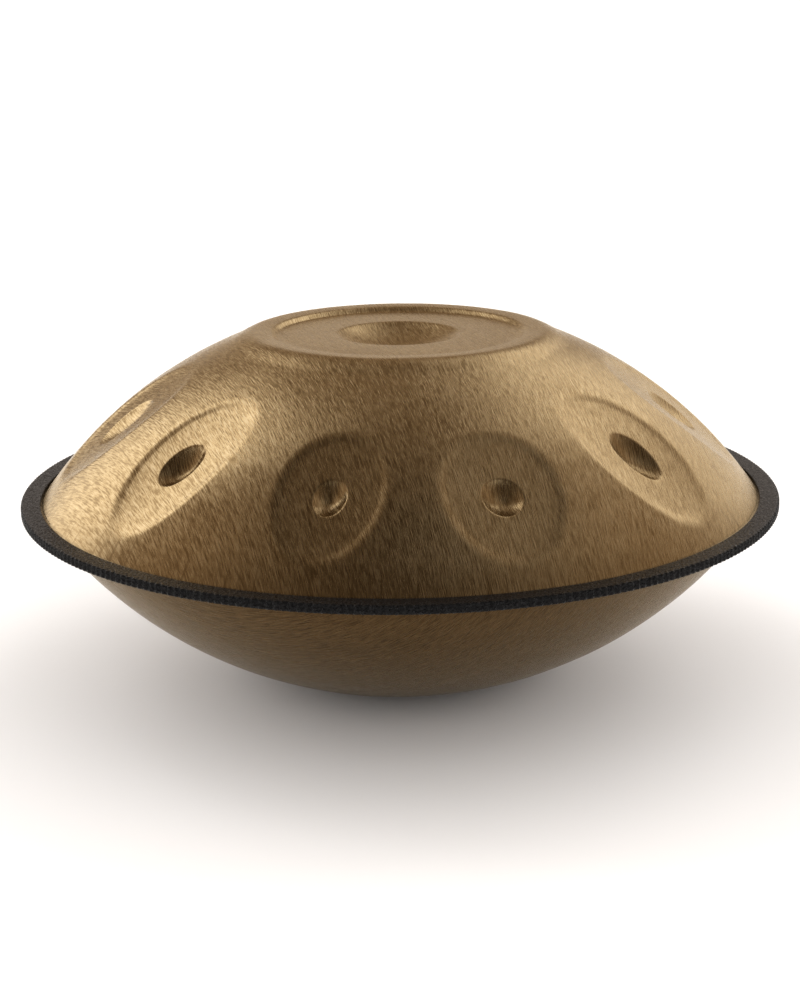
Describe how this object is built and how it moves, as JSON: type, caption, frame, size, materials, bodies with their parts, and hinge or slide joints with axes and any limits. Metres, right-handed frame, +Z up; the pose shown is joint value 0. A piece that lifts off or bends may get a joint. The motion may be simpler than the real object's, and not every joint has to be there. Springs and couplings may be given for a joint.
{
  "type": "handpan",
  "caption": "Lens-shaped steel hand drum: two domed shells joined at a trimmed rim, dimpled tone fields on top and a round port below.",
  "frame": {"origin": "on the axis, in the plane of the flat ring around the port that the instrument rests on", "axes": "+Z up along the axis, -Y towards the player, +X to the player's right"},
  "size_m": [0.57, 0.57, 0.2644],
  "materials": {
    "shell_steel": "brushed, bronze-coloured heat tint",
    "trim_rubber": "fine leather grain on top, ribbed side",
    "glue": "cured resin",
    "carrier_steel": "plain strip"
  },
  "bodies": {
    "root": {"top_shell": "shell_steel", "bottom_shell": "shell_steel", "flange_glue": "glue", "rim_trim": "trim_rubber", "trim_carrier": "carrier_steel"}
  },
  "joints": []
}
